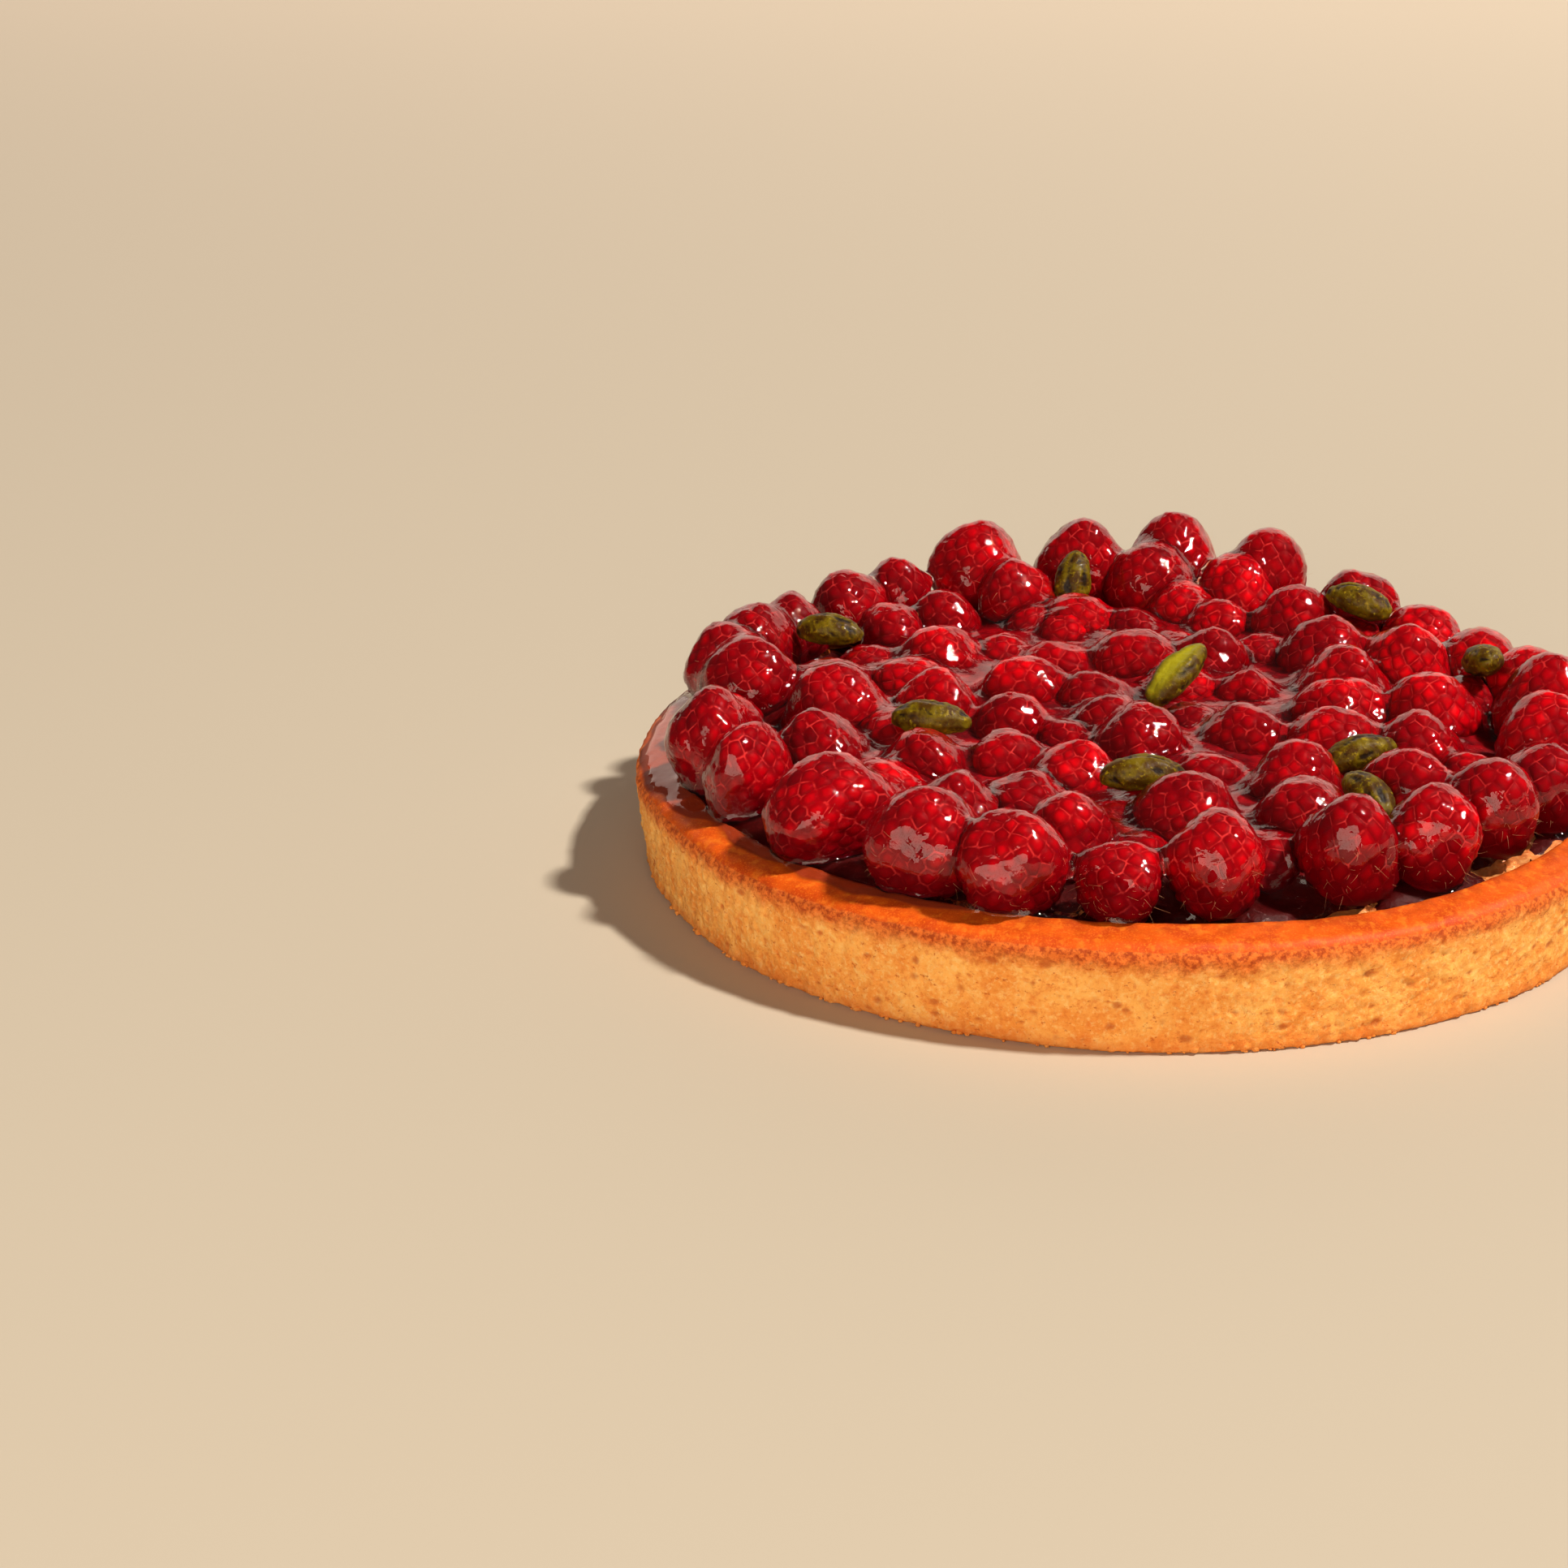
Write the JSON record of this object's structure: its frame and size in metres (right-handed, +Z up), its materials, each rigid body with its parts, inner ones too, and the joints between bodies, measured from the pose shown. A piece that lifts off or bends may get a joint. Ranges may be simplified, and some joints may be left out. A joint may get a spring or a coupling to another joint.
{
  "type": "fruit tart",
  "caption": "Round shortcrust tart with a baked filling, a heap of glazed raspberries and scattered pistachios, resting on its flat underside.",
  "frame": {"origin": "the middle of the flat underside", "axes": "+Z up; -Y is the side seen in the picture; +X to the right of it"},
  "size_m": [0.2201, 0.2203, 0.05],
  "materials": {
    "crust": "matte baked shortcrust",
    "filling": "satin baked cream",
    "raspberry": "wet gloss under clear glaze",
    "pistachio": "oily satin"
  },
  "bodies": {
    "root": {"crust": "crust", "filling": "filling", "raspberries": "raspberry", "pistachio_1": "pistachio", "pistachio_2": "pistachio", "pistachio_3": "pistachio", "pistachio_4": "pistachio", "pistachio_5": "pistachio", "pistachio_6": "pistachio", "pistachio_7": "pistachio", "pistachio_8": "pistachio", "pistachio_9": "pistachio"}
  },
  "joints": []
}
